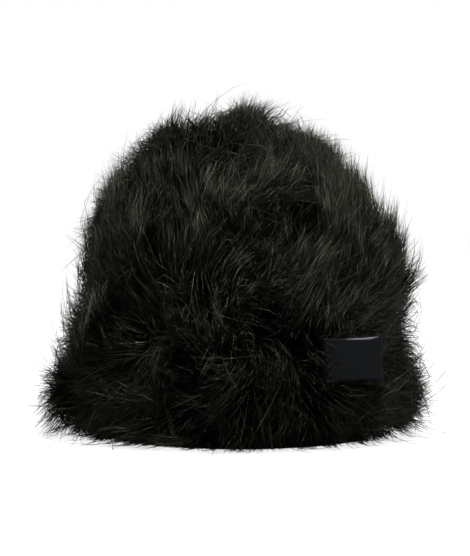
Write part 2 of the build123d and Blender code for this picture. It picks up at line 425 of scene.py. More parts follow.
def hair_mesh(name, lines, radii, tones, material):
    """One mesh of many closed three-sided hairs.

    lines holds each hair's centre line from root to tip, and radii its radius at each of
    those points but the last, which is the tip. Round every point but the last stand three
    corners, at the angles 0, 120 and 240 degrees in the plane square to the line. The
    sides are quads, the tip is a cone and the root is closed with one triangle. A hair's
    UV strip is narrow in u, at the hair's tone, and runs from 0 at the root to 1 at the tip.
    """
    count, steps = lines.shape[0], lines.shape[1] - 1
    along = unit(np.gradient(lines, axis=1))[:, :steps]
    aside = np.random.default_rng(count).normal(size=(count, 1, 3))
    first = unit(aside - (aside * along).sum(-1, keepdims=True) * along)
    second = np.cross(along, first)
    angles = np.arange(3) * 2 * np.pi / 3
    rings = (
        lines[:, :steps, None]
        + radii[..., None, None] * np.cos(angles)[:, None] * first[:, :, None]
        + radii[..., None, None] * np.sin(angles)[:, None] * second[:, :, None]
    )
    points = np.concatenate([rings.reshape(count, -1, 3), lines[:, -1:]], 1)

    ring, side = np.meshgrid(np.arange(steps - 1) * 3, np.arange(3), indexing="ij")
    after = (side + 1) % 3
    quads = np.stack([ring + side, ring + after, ring + 3 + after, ring + 3 + side], -1)
    last, tip = 3 * (steps - 1), 3 * steps
    cone = np.stack([last + side[0], last + after[0], np.full(3, tip)], -1)
    pattern = np.concatenate([quads.ravel(), cone.ravel(), [2, 1, 0]])
    sizes = np.concatenate([np.full(3 * (steps - 1), 4), np.full(4, 3)])
    corners = (pattern[None] + np.arange(count)[:, None] * (3 * steps + 1)).ravel()

    share = np.arange(steps + 1) / steps
    quad_v = np.stack([share[:-2], share[:-2], share[1:-1], share[1:-1]], -1)
    quad_v = np.repeat(quad_v, 3, axis=0).ravel()
    cone_v = [share[-2], share[-2], 1.0]
    quad_u = np.tile([0.0, 1.0, 1.0, 0.0], 3 * (steps - 1))
    u = np.concatenate([quad_u, np.tile([0.0, 1.0, 0.5], 4)])
    v = np.concatenate([quad_v, np.tile(cone_v, 3), [0.0, 0.0, 0.02]])
    u = tones[:, None] + STRIP_WIDTH * (u - 0.5)
    uv = np.stack([u, np.broadcast_to(v, u.shape)], -1)
    points = points.reshape(-1, 3)
    return put_mesh(name, points, corners, np.tile(sizes, count), "OFBake", uv, (material,))


# ------------------------------------------------------------------ the pile


def waves(points, length, seed):
    """Smooth vector noise of about unit strength: the sum of 14 plane waves.

    Each wave is a sine along its own random heading, about one length long, and points
    along its own random way. The sum is divided by the root of their number.
    """
    count = 14
    rng = np.random.default_rng(seed)
    heading = unit(rng.normal(size=(count, 3)))
    heading = heading * rng.uniform(0.7, 1.4, (count, 1)) * 2 * np.pi / length
    phase = rng.uniform(0, 2 * np.pi, count)
    way = rng.normal(size=(count, 3))
    return np.sin(points @ heading.T + phase) @ way * np.sqrt(1.0 / count)


def smooth(x, low, high):
    """0 below low, 1 above high, and t^2 (3 - 2t) at the share t of the way between."""
    t = np.clip((x - low) / (high - low), 0, 1)
    return t * t * (3 - 2 * t)


def seam_angles():
    """Plan angles of the seams, the label's first."""
    first = bpy.context.scene.windscreen_cut.label_seam
    return first + np.arange(len(GORES)) * 2 * np.pi / len(GORES)


# Steps in the share of the height and of the width that spread places evenly over a
# square, in the way that steps of the golden ratio spread them over a line.
EVEN_STEPS = (0.7548776662, 0.5698402910)

# Share of a gore's width that is left bare at each seam.
BARE_EDGE = 0.012


def sow(dome, gore, count, rng):
    """Roots spread evenly by area over one gore of a dome, and the normals there.

    Each root is one of the even steps, shifted at random. Its first share is the share of
    the gore's area below it and its second the share of the width. The run up the
    outline follows from the first, and is uneven by a third of a millimetre.
    """
    step = np.arange(count)[:, None] * np.array(EVEN_STEPS) + rng.random(2)
    share, across = (step % 1.0).T
    run = np.linspace(0, dome.length, 400)
    area = np.cumsum(dome.outline(run)[0])
    run = np.interp(share * area[-1], area, run) + rng.normal(0, 0.3 * MM, count)
    run = np.clip(run, 0, dome.length * 0.999)
    turn = gore - 1 + BARE_EDGE + (1 - 2 * BARE_EDGE) * across
    return dome.place(run, seam_angles()[0] + turn * (2 * np.pi / len(GORES)))


def seam_gap(points):
    """Signed distance along the cloth to the nearest seam, and the way round the dome."""
    azimuth = np.arctan2(points[:, 1], points[:, 0])
    off = np.angle(np.exp(1j * (azimuth[:, None] - seam_angles())))
    nearest = np.take_along_axis(off, np.abs(off).argmin(1)[:, None], 1)[:, 0]
    around = np.stack([-np.sin(azimuth), np.cos(azimuth), np.zeros_like(azimuth)], -1)
    return nearest * np.hypot(points[:, 0], points[:, 1]), around


def seam_opening(points):
    """How far the pile opens along the seams: 0.06 and up to 0.94 more.

    It opens at mid height, with smooth steps below and above, and in patches, which are
    smooth steps of the waves.
    """
    z = points[:, 2]
    height = smooth(z, 0.022, 0.034) * (1 - smooth(z, 0.052, 0.064))
    patches = smooth(waves(points, 22 * MM, 8)[:, 0], -0.7, 0.5)
    return 0.06 + 0.94 * height * patches


# How far past the guard hairs' outline a tip may stand.
FARTHEST = 9.0 * MM

# How deep the pile is where tufts are placed on its surface.
PILE_DEPTH = 12 * MM

# Tufts that stand proud of the pile, and hollows where it lies open, as the pile has
# been ruffled: a place in millimetres, a size, and how much longer the hair reaches.
TUFTS = (
    (-46, -6, 14, 7, 11.0),
    (-44, -14, 5, 7, 1.5),
    (-45, -4, 29, 6, 1.0),
    (46, -8, 13, 7, 3.0),
    (46, -4, 34, 5, 8.0),
    (45, -6, 43, 7, 5.0),
    (1, -4, 84, 6, 4.0),
    (8, -8, 82, 5, 3.0),
    (-19, -7, 79, 9, 5.0),
    (-38, -4, 60, 9, 3.0),
    (21, -5, 76, 9, -11.0),
    (37, -6, 63, 10, -7.0),
    (17, -36, 57, 6, -9.0),
    (12, -41, 48, 5, -8.0),
    (25, -37, 41, 5, -8.0),
    (-4, -44, 45, 6, -6.0),
    (-21, -40, 50, 7, -9.0),
    (-28, -36, 32, 8, -9.0),
    (-10, -29, 73, 7, -8.0),
    (-14, -43, 17, 8, -6.0),
)


def label_axes():
    """The label's crease, and the ways along the resting label and out of the pile."""
    crease = np.array(named(frame["record"]["behaviour"]["joints"], "label_hinge")["pos_m"])
    out = unit(crease * [1, 1, 0])
    return crease, np.array([-out[1], out[0], 0.0]), out


def label_reach():
    """How far the middle of the label's fold lies from its crease."""
    crease, beside, _ = label_axes()
    radius = bpy.context.scene.windscreen_label.fold_radius
    return float((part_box("label_flap")[1][0] - crease[0] - radius) / beside[0])


def beside_tab(points):
    """1 beside the label's tab, where hair is brushed over it, and 0 away from there.

    It is a product of smooth steps round the dome and up it, on the side of the seam that
    the label doesn't lie on.
    """
    _, beside, out = label_axes()
    bottom, top = levels("label_tab")
    along, z = points @ beside, points[:, 2]
    level = smooth(z, bottom - 5 * MM, bottom) * (1 - smooth(z, top, top + 3 * MM))
    return smooth(along, -7 * MM, -2 * MM) * (along < 0) * (points @ out > 0) * level


def ruffle(points, normals):
    """What the tufts and hollows do to hair with these roots: extra reach, lean and stand.

    They fall off as a Gaussian of the distance, in their sizes, from their middle to the
    place over the root on the pile's surface. Hair leans towards a tuft's middle and away
    from a hollow's. A tuft's hair stands up, and the stand is the share of its other lean
    that is left. Hair beside the label's tab reaches 3 mm further, to lie over it.
    """
    surface = points + PILE_DEPTH * normals
    reach, leaning, stand = np.zeros(len(points)), np.zeros_like(points), np.ones(len(points))
    for x, y, z, size, extra in TUFTS:
        away = surface - np.array([x, y, z]) * MM
        near = np.exp(-((away / (size * MM)) ** 2).sum(1))
        reach += extra * MM * near
        leaning -= (extra / 4) * away / (size * MM) * near[:, None]
        stand *= 1 - near * np.clip(extra / 9, 0, 0.7)
    return reach + 3.0 * MM * beside_tab(points), leaning, stand


def lean(points, normals, ruffled, stand):
    """Which way the hair is brushed: tangent vectors as long as the tangent of its lean.

    The hair spreads from the whorl, so low down it lies away from that place all round.
    Over the upper half it rises, to the left on the left, a little to the right in the
    middle and steeply on the right. It falls a little at the foot, lies over to the left
    on the left of the crown, parts at the seams and wanders with two sizes of waves.
    ruffled and stand are what the tufts and hollows add to this lean and leave of it, and
    the hair beside the label's tab is brushed round the dome, over the tab.
    """
    spread = points - np.array(bpy.context.scene.windscreen_pile.whorl)
    spread = spread / (np.linalg.norm(spread, axis=1, keepdims=True) + 4 * MM)
    x, z, right = points[:, :1], points[:, 2:3], np.array([1.0, 0.0, 0.0])
    upper = smooth(z, 0.024, 0.042)
    crown = smooth(z, 0.062, 0.070)
    rise = (1.1 + 0.7 * smooth(x, 0.0, 0.022)) * upper * (1 - 0.85 * crown) * UP
    fall = -0.15 * (1 - smooth(z, 0.004, 0.018)) * UP
    middle = smooth(x, -0.018, -0.004) * (1 - smooth(x, 0.012, 0.026))
    sideways = (0.75 * middle - 0.5 * smooth(-x, 0.008, 0.026)) * upper * right
    crest = 0.45 * crown * smooth(-x, 0.0, 0.012) * np.array([-1.0, -0.35, 0.0])
    wander = 0.55 * waves(points, 24 * MM, 5) + 0.55 * waves(points, 11 * MM, 6)
    brushed = (0.9 - 0.5 * upper) * spread + rise + fall + sideways + crest + wander

    gap, around = seam_gap(points)
    away = np.sign(gap) * np.exp(-np.abs(gap) / (4 * MM)) * seam_opening(points)
    brushed = (brushed + 0.5 * away[:, None] * around) * stand[:, None] + ruffled
    brushed = brushed + 1.8 * beside_tab(points)[:, None] * around
    return brushed - (brushed * normals).sum(1, keepdims=True) * normals


def centre_lines(roots, normals, leaning, lengths, steps, curl):
    """Centre lines of hairs, from root to tip.

    At the share t of its length a hair points along normal + leaning * (0.3 + 1.6 t),
    plus curl * t, so it stands up from the cloth and lies over towards its tip. The points
    are the running sum of those headings.
    """
    t = ((np.arange(steps) + 0.5) / steps)[:, None]
    heading = normals[:, None] + leaning[:, None] * (0.3 + 1.6 * t) + curl[:, None] * t
    strides = unit(heading) * (lengths / steps)[:, None, None]
    return np.concatenate([roots[:, None], roots[:, None] + np.cumsum(strides, 1)], 1)


def to_envelope(pile, roots, normals, leaning, curl, beyond, hair):
    """Lengths that bring each tip the given distance beyond the pile's outline.

    Each is scaled four times by how far the tip should rise over how far it does, and is
    kept between 3 mm and the longest.
    """
    depth = -pile.height_over(roots)
    lengths = depth + beyond
    for _ in range(4):
        tips = centre_lines(roots, normals, leaning, lengths, hair.steps, curl)[:, -1]
        reached = np.maximum(depth + pile.height_over(tips), 2 * MM)
        lengths = np.clip(lengths * (depth + beyond) / reached, 3 * MM, hair.longest)
    return lengths


def gathered(lines, guides, owner, pull):
    """Hairs drawn to the lines that they gather in, by pull times t^1.4 at the share t."""
    t = np.linspace(0, 1, lines.shape[1])[None, :, None]
    return lines + (guides[owner] - lines) * pull[:, None, None] * t**1.4


def nearest_guide(roots, guide_roots):
    """For each root, the number of the closest guide."""
    gaps = ((roots[:, None] - guide_roots[None]) ** 2).sum(-1)
    return gaps.argmin(1)


def settle(lines, thickness):
    """Hairs laid on the floor and clear of the label.

    Below a low height, the height z becomes low * exp(z / low - 1), so no hair crosses the
    floor. Of what lies out over the floor further than the tufts reach, 0.9 is taken back.
    In the label's band, hairs from the label's side of the seam are pressed behind it.
    Hairs from the other side stay beside the tab inside the pile. Outside it they may
    overlap the label by 0.4 to 4.4 mm, most of them by little, and are raised to clear
    its face. u and v are places along the label and out of the pile, from its crease.
    """
    low = 1.6 * MM
    z = lines[..., 2]
    squeezed = low * np.exp(np.minimum(z / low - 1, 0))
    lines[..., 2] = np.where(z < low, squeezed, z) + thickness
    radius = np.hypot(lines[..., 0], lines[..., 1])
    past = np.maximum(radius - CAD_BOX[1][0] - 1.2 * FARTHEST, 0)
    lines[..., :2] *= (1 - 0.9 * past / np.maximum(radius, MM))[..., None]

    crease, beside, out = label_axes()
    bottom, top = levels("label_flap")
    u, v, z = (lines - crease) @ beside, (lines - crease) @ out, lines[..., 2]
    reach = label_reach() + bpy.context.scene.windscreen_label.fold_radius
    above = smooth(z, bottom - 2.5 * MM, bottom - 0.5 * MM)
    band = above * (1 - smooth(z, top + 0.5 * MM, top + 2.5 * MM))
    over = band * (1 - smooth(u, reach + 0.5 * MM, reach + 3 * MM))
    from_label_side = u[:, :1] > 0
    behind = np.maximum(v + 0.8 * MM + 0.03 * np.abs(u), 0) * over * smooth(u, -2.5 * MM, 0)
    lines = lines - np.where(from_label_side, behind, 0)[..., None] * out
    overlap = np.random.default_rng(len(lines)).random((len(lines), 1)) ** 2
    overlap = (0.4 + 4.0 * overlap) * MM * smooth(v, -1.2 * MM, 0.4 * MM)
    past = np.maximum(u + 0.35 * MM - overlap, 0) * over
    lines = lines - np.where(from_label_side, 0, past)[..., None] * beside
    on_label = over * smooth(u, -0.8 * MM, 0.2 * MM)
    raised = np.maximum(1.45 * MM - v, 0) * on_label * smooth(v, -1.2 * MM, 0)
    return lines + np.where(from_label_side, 0, raised)[..., None] * out


# A kind of hair: the steps of its centre lines, the noise in their lean, how far its tips
# end beyond the pile's outline and the spread of that, both in millimetres, and its
# greatest length in metres. pull is the range of how far it is drawn to its bundle.
# thickness is a share of a guard hair's, and taper is the part of it at each step. tone is
# its mean tone, and bright the share of it that is much paler: painted glints, which stand
# for light glancing off single hairs. foot scales the rounding of the pile's outline at the
# floor.
HairKind = namedtuple(
    "HairKind", "steps noise beyond spread longest pull thickness taper tone bright foot"
)
KINDS = {
    "underfur": HairKind(
        steps=3, noise=0.22, beyond=-3.0, spread=1.6, longest=0.026, pull=(0.1, 0.6),
        thickness=0.65, taper=(0.9, 1.0, 0.7), tone=0.15, bright=0.0, foot=1.0,
    ),
    "guard": HairKind(
        steps=4, noise=0.22, beyond=0.2, spread=1.8, longest=0.036, pull=(0.45, 1.0),
        thickness=1.0, taper=(0.8, 1.0, 0.9, 0.6), tone=0.24, bright=0.12, foot=0.8,
    ),
    "loose": HairKind(
        steps=5, noise=0.60, beyond=1.0, spread=2.3, longest=0.036, pull=(0.0, 0.3),
        thickness=0.6, taper=(0.7, 1.0, 0.9, 0.75, 0.5), tone=0.34, bright=0.35, foot=0.2,
    ),
}

# Area of cloth that carries pile, in square metres, which says how many guides there are.
CLOTH_AREA = 0.0128


def grow(pile, roots, normals, hair, rng):
    """Centre lines of hairs of one kind, whose tips reach about one outline.

    Their lean, their curl and how far they reach have normal noise. That of the reach is
    cut off at -3 and 2.2 times its spread, so that no hair stands out by far.
    """
    count = len(roots)
    extra, ruffled, stand = ruffle(roots, normals)
    leaning = lean(roots, normals, ruffled, stand) + rng.normal(0, hair.noise, (count, 3))
    curl = rng.normal(0, hair.noise * 1.5, (count, 3))
    reach = hair.beyond + hair.spread * np.clip(rng.normal(0, 1, count), -3, 2.2)
    reach = np.minimum(reach * MM + extra, FARTHEST)
    lengths = to_envelope(pile, roots, normals, leaning, curl, reach, hair)
    return centre_lines(roots, normals, leaning, lengths, hair.steps, curl)


def guide_tree(pile, cloth, number, steps):
    """The bundles of one gore that its hair gathers in: their roots, lines and tones.

    Bundles gather in wisps and wisps in locks. Each of these levels has its spacing, its
    reach beyond the outline and the spread of that, how far it is drawn to the level
    before, and how much its tone varies about that one's. All kinds of hair share the
    bundles, because they come from one seed.
    """
    pile_set = bpy.context.scene.windscreen_pile
    rng = np.random.default_rng(7000 + number)
    roots = lines = tones = None
    for spacing, beyond, spread, pull, vary in (
        (pile_set.lock_spacing, 1.2, 3.4, (0, 0), 0.07),
        (pile_set.wisp_spacing, 0.9, 3.4, (0.1, 0.6), 0.07),
        (pile_set.bundle_spacing, 0.5, 2.8, (0.3, 0.9), 0.14),
    ):
        guide = KINDS["guard"]._replace(steps=steps, noise=0.50, beyond=beyond, spread=spread)
        count = int(CLOTH_AREA / len(GORES) / spacing**2)
        new_roots, normals = sow(cloth, number, count, rng)
        new_lines = grow(pile, new_roots, normals, guide, rng)
        new_tones = rng.normal(0, vary, count)
        if roots is not None:
            owner = nearest_guide(new_roots, roots)
            new_lines = gathered(new_lines, lines, owner, rng.uniform(*pull, count))
            new_tones = new_tones + tones[owner]
        roots, lines, tones = new_roots, new_lines, new_tones
    return roots, lines, tones


def grow_gore(number, kind):
    """Centre lines, radii and tones of one kind of hair on one gore.

    A hair's tone is its kind's, plus its bundle's and normal noise, plus 0.42 if it is one
    of the bright ones, which are painted glints. Its radius varies by 0.7 to 1.25.
    """
    pile_set = bpy.context.scene.windscreen_pile
    cloth, pile = cloth_dome(), pile_dome()
    hair = KINDS[kind]
    pile.foot_r *= hair.foot
    guide_roots, guide_lines, guide_tones = guide_tree(pile, cloth, number, hair.steps)

    rng = np.random.default_rng(100 * number + list(KINDS).index(kind))
    count = getattr(pile_set, f"{kind}_count")
    roots, normals = sow(cloth, number, count, rng)
    lines = grow(pile, roots, normals, hair, rng)
    owner = nearest_guide(roots, guide_roots)
    lines = gathered(lines, guide_lines, owner, rng.uniform(*hair.pull, count))
    lines[:, 1:] += rng.normal(0, 0.15 * MM, lines[:, 1:].shape)

    thickness = pile_set.thickness * hair.thickness
    lines = settle(lines, 0.6 * thickness)
    radii = 0.5 * thickness * np.array(hair.taper) * rng.uniform(0.7, 1.25, (count, 1))
    tones = hair.tone + guide_tones[owner] + rng.normal(0, 0.14, count)
    # Painted glints: a share of the hairs made much paler, for light glancing off single hairs.
    tones = tones + 0.42 * (rng.random(count) < hair.bright)
    return lines, radii, np.clip(tones, 0.02, 0.98)


# ------------------------------------------------------------------ node graphs


class Graph:
    """Short ways to add nodes to a node tree and to join them."""

    def __init__(self, tree):
        self.nodes, self.links = tree.nodes, tree.links

    def feed(self, node, inputs):
        """Joins other nodes' outputs to a node's inputs, or sets those to values."""
        for key, value in inputs.items():
            if isinstance(value, bpy.types.NodeSocket):
                self.links.new(value, node.inputs[key])
            else:
                node.inputs[key].default_value = value

    def add(self, kind, inputs=None, **settings):
        """A new node with its settings and inputs."""
        node = self.nodes.new("ShaderNode" + kind)
        for key, value in settings.items():
            setattr(node, key, value)
        self.feed(node, inputs or {})
        return node

    def math(self, operation, *values):
        """The result of a math node."""
        return self.add("Math", dict(enumerate(values)), operation=operation).outputs[0]

    def split(self, vector):
        """The first two numbers of a vector."""
        parts = self.add("SeparateXYZ", {0: vector})
        return parts.outputs["X"], parts.outputs["Y"]

    def scaled(self, vector, factor):
        """A vector or colour times a factor."""
        inputs = {0: vector, "Scale": factor}
        return self.add("VectorMath", inputs, operation="SCALE").outputs["Vector"]

    def colour_between(self, factor, low, high):
        """The colour low where the factor is 0, high where it is 1, and mixed between."""
        inputs = {"A": (*low, 1), "B": (*high, 1), "Factor": factor}
        return self.add("Mix", inputs, data_type="RGBA").outputs["Result"]

    def value_between(self, factor, low, high):
        """The value low where the factor is 0, high where it is 1, and mixed between."""
        inputs = {"To Min": low, "To Max": high, "Value": factor}
        return self.add("MapRange", inputs).outputs["Result"]


def new_material(name):
    """A new material, the graph of its nodes and its shader."""
    material = bpy.data.materials.new(name)
    material.use_nodes = True
    return material, Graph(material.node_tree), material.node_tree.nodes["Principled BSDF"]


# ------------------------------------------------------------------ the pile's pieces


def hair_material(name, gloss_level, depth):
    """Black pile. Each hair runs from a dark root, darkened by painted shade, to a paler tip,
    lightened by painted light, and a few are much paler, which are painted glints.

    The colour is multiplied by depth times 0.4 plus 16 times the cube of the hair's tone.
    depth is small for hair that stands low in the pile, and that darkening is painted shade.
    The roughness falls from 0.42 to 0.26 with the tone.
    """
    pile_set = bpy.context.scene.windscreen_pile
    material, graph, shader = new_material(name)
    tone, height = graph.split(graph.add("UVMap", uv_map="OFBake").outputs["UV"])
    inputs = {"From Min": 0.28, "Value": height}
    run = graph.add("MapRange", inputs, interpolation_type="SMOOTHSTEP").outputs["Result"]
    # Painted shade at the root, running to painted light at the tip.
    colour = graph.colour_between(run, pile_set.shaded_root_colour, pile_set.lit_tip_colour)
    cubed = graph.math("POWER", tone, 3.0)
    # depth darkens hair that stands low in the pile: painted shade.
    brightness = graph.math("MULTIPLY_ADD", cubed, 16.0 * depth, 0.4 * depth)
    graph.feed(shader, {
        "Base Color": graph.scaled(colour, brightness),
        "Roughness": graph.value_between(tone, 0.42, 0.26),
        "Specular IOR Level": gloss_level,
        "Specular Tint": (1.0, 1.0, 0.78, 1),
    })
    return material


class WINDSCREEN_OT_pile(bpy.types.Operator):
    """Grow the pile of every gore as underfur, guard hairs and loose hairs."""

    bl_idname = "windscreen.pile"
    bl_label = "Pile"

    def execute(self, context):
        guard = hair_material("black_guard_hair", 0.22, 1.0)
        # The underfur stands low in the pile, so depth 0.3 darkens it with painted shade.
        underfur = hair_material("black_underfur", 0.03, 0.3)
        materials = {"underfur": underfur, "guard": guard, "loose": guard}
        for number, gore in enumerate(GORES):
            for kind, material in materials.items():
                lines, radii, tones = grow_gore(number, kind)
                piece = hair_mesh(f"{kind}_{gore}", lines, radii, tones, material)
                stand_in(piece, f"pile_{gore}")
        return {"FINISHED"}


# ------------------------------------------------------------------ cloth and thread finishes


def pattern_group(name, inputs, outputs, build):
    """A node group with named inputs and outputs, filled in by build the first time.

    Its inputs are a vector of cloth or object coordinates and sizes in metres, given with
    their defaults. build gets the graph and the inputs, and returns the outputs' values.
    """
    if name in bpy.data.node_groups:
        return bpy.data.node_groups[name]
    tree = bpy.data.node_groups.new(name, "ShaderNodeTree")
    tree.interface.new_socket("Vector", in_out="INPUT", socket_type="NodeSocketVector")
    for label, default in inputs.items():
        socket = tree.interface.new_socket(label, in_out="INPUT", socket_type="NodeSocketFloat")
        socket.default_value = default
    for label in outputs:
        tree.interface.new_socket(label, in_out="OUTPUT", socket_type="NodeSocketFloat")
    start, end = tree.nodes.new("NodeGroupInput"), tree.nodes.new("NodeGroupOutput")
    graph = Graph(tree)
    graph.feed(end, dict(zip(outputs, build(graph, start.outputs))))
    return tree


def hump(graph, value):
    """1 - (2 frac(value) - 1)^2: a row of round humps, one for each whole number."""
    centred = graph.math("MULTIPLY_ADD", graph.math("FRACT", value), 2.0, -1.0)
    return graph.math("SUBTRACT", 1.0, graph.math("MULTIPLY", centred, centred))


def knit_group():
    """Plain knit: columns of V-shaped stitches.

    The height is the root of a hump across each column, times humps up the column. Those
    are humps of 1.3 times the height plus 1.1 times the distance from the column's
    middle, both in columns' widths, so each stitch is a V.
    """

    def build(graph, given):
        x, y = graph.split(given["Vector"])
        across = graph.math("DIVIDE", x, given["Pitch"])
        height = graph.math("DIVIDE", y, given["Pitch"])
        off = graph.math("SUBTRACT", graph.math("FRACT", across), 0.5)
        slope = graph.math("MULTIPLY", graph.math("ABSOLUTE", off), 1.1)
        stitch = hump(graph, graph.math("MULTIPLY_ADD", height, 1.3, slope))
        column = graph.math("SQRT", hump(graph, across))
        return (graph.math("MULTIPLY", column, stitch),)

    return pattern_group("knit_stitches", {"Pitch": 0.001}, ("Height",), build)


def weave_group():
    """Satin: rows of long threads that lie on the face, each row shifted against the last.

    The height is a hump across each row, times humps along it to the power 0.35, so the
    threads are flat and dip sharply at their ends. A row's shift is 0.4 of a thread's
    length.
    """

    def build(graph, given):
        x, y = graph.split(given["Vector"])
        across = graph.math("DIVIDE", y, given["Pitch"])
        along = graph.math("DIVIDE", x, given["Float"])
        shift = graph.math("MULTIPLY", graph.math("FLOOR", across), 0.4)
        thread = graph.math("POWER", hump(graph, graph.math("ADD", along, shift)), 0.35)
        return (graph.math("MULTIPLY", hump(graph, across), thread),)

    sizes = {"Pitch": 0.00016, "Float": 0.0006}
    return pattern_group("satin_floats", sizes, ("Height",), build)


def twist_group():
    """Twisted plies: humps that run slantwise round a thread.

    They are humps of the run in pitches plus the way round in girths.
    """

    def build(graph, given):
        x, y = graph.split(given["Vector"])
        along = graph.math("DIVIDE", x, given["Pitch"])
        round_it = graph.math("DIVIDE", y, given["Girth"])
        return (hump(graph, graph.math("ADD", along, round_it)),)

    sizes = {"Pitch": 0.0006, "Girth": 0.001}
    return pattern_group("twisted_plies", sizes, ("Height",), build)


def fuzz_group():
    """Loose fibres and uneven dye: noise of two sizes."""
    sizes = {"Fine": 0.0003, "Broad": 0.012}

    def build(graph, given):
        results = []
        for size in sizes:
            scale = graph.math("DIVIDE", 1.0, given[size])
            inputs = {"Detail": 3.0, "Vector": given["Vector"], "Scale": scale}
            results.append(graph.add("TexNoise", inputs).outputs["Fac"])
        return results

    return pattern_group("fibre_fuzz", sizes, tuple(sizes), build)


def woven_material(name, colour, pattern, sizes, depth, gloss, level):
    """A cloth or thread finish: a pattern that lifts and polishes its own ridges, with painted
    shade in its hollows and painted light on its ridges.

    The colour at the bottom of the pattern is 0.45 of the given one, darkened by painted
    shade, and at the top 1.3 of it, lightened by painted light, and both vary by the fuzz.
    The relief is the pattern's height plus 0.3 of the fine fuzz, times depth in millimetres.
    gloss is the roughness at the bottom and at the top.
    """
    material, graph, shader = new_material(name)
    sizes = {label: size * MM for label, size in sizes.items()}
    inputs = {"Vector": graph.add("UVMap", uv_map="cloth").outputs["UV"], **sizes}
    height = graph.add("Group", inputs, node_tree=pattern).outputs["Height"]
    place = graph.add("TexCoord").outputs["Object"]
    fuzz = graph.add("Group", {"Vector": place}, node_tree=fuzz_group()).outputs

    # Painted shade at the bottom of the pattern and painted light at its top.
    low, high = ([share * part for part in colour] for share in (0.45, 1.3))
    uneven = graph.math("ADD", fuzz["Fine"], fuzz["Broad"])
    relief = graph.math("MULTIPLY_ADD", fuzz["Fine"], 0.3, height)
    bump = graph.add("Bump", {"Distance": depth * MM, "Height": relief})
    graph.feed(shader, {
        "Base Color": graph.scaled(graph.colour_between(height, low, high), uneven),
        "Roughness": graph.value_between(height, *gloss),
        "Normal": bump.outputs["Normal"],
        "Specular IOR Level": level,
    })
    return material


def finish(name):
    """The finish of that name, made the first time that it is asked for.

    Each is a pattern, a colour, the pattern's sizes in millimetres, the relief, the
    roughness at the bottom and at the top of the pattern, and the specular level.
    """
    if name in bpy.data.materials:
        return bpy.data.materials[name]
    cloth, label = bpy.context.scene.windscreen_cloth, bpy.context.scene.windscreen_label
    wale = cloth.wale_pitch / MM
    pattern, colour, sizes, depth, gloss, level = {
        "backing_knit": (
            knit_group, cloth.ground_colour, {"Pitch": wale}, 0.2, (0.95, 0.8), 0.2,
        ),
        "stretch_knit": (
            knit_group, cloth.panel_colour, {"Pitch": 0.8 * wale}, 0.2, (0.9, 0.7), 0.3,
        ),
        "spun_thread": (
            twist_group, cloth.thread_colour, {"Pitch": 0.6, "Girth": 0.9}, 0.05, (0.8, 0.5), 0.4,
        ),
        "braided_elastic": (
            knit_group, cloth.elastic_colour, {"Pitch": 0.6}, 0.12, (0.85, 0.6), 0.3,
        ),
        "label_satin": (
            weave_group, label.face_colour, {"Pitch": 0.18, "Float": 0.7}, 0.04, (0.65, 0.5), 0.11,
        ),
        "label_reverse": (
            weave_group,
            label.reverse_colour,
            {"Pitch": 0.18, "Float": 0.4},
            0.04,
            (0.7, 0.55),
            0.3,
        ),
    }[name]
    return woven_material(name, colour, pattern(), sizes, depth, gloss, level)


# ------------------------------------------------------------------ cloth and thread pieces


# Points along the middle line of a bent cloth.
CLOTH_ROWS = 84

# Points along one loop of an overlock thread.
LOOP_POINTS = 14


def cloth_rows(dome, cloth):
    """Middle line of a gore's cloth, from its turned foot to the crown, and its normals.

    Both are pairs of radius and height, and the normals point outwards. The line runs out
    along the base seam, bends up and follows the dome half a cloth inside its outer face.
    """
    half = 0.5 * cloth.ground_thickness
    run = np.arange(dome.foot_length * 0.35, dome.length - 1.0 * MM, 3 * MM)
    radius, height, tilt = dome.outline(run)
    side = np.stack([radius - half * np.cos(tilt), height - half * np.sin(tilt)], -1)
    floor = dome.foot_z + half
    edge = dome.waist_r - cloth.ground_thickness - cloth.seam_allowance
    foot = [
        (edge, floor),
        (edge + 1.7 * MM, floor),
        (dome.waist_r - 1.6 * MM, floor),
        (side[0, 0], floor + 0.1 * MM),
    ]
    middle = soft_line(np.concatenate([foot, side]), CLOTH_ROWS)
    along = unit(np.gradient(middle, axis=0))
    return middle, np.stack([along[:, 1], -along[:, 0]], -1)


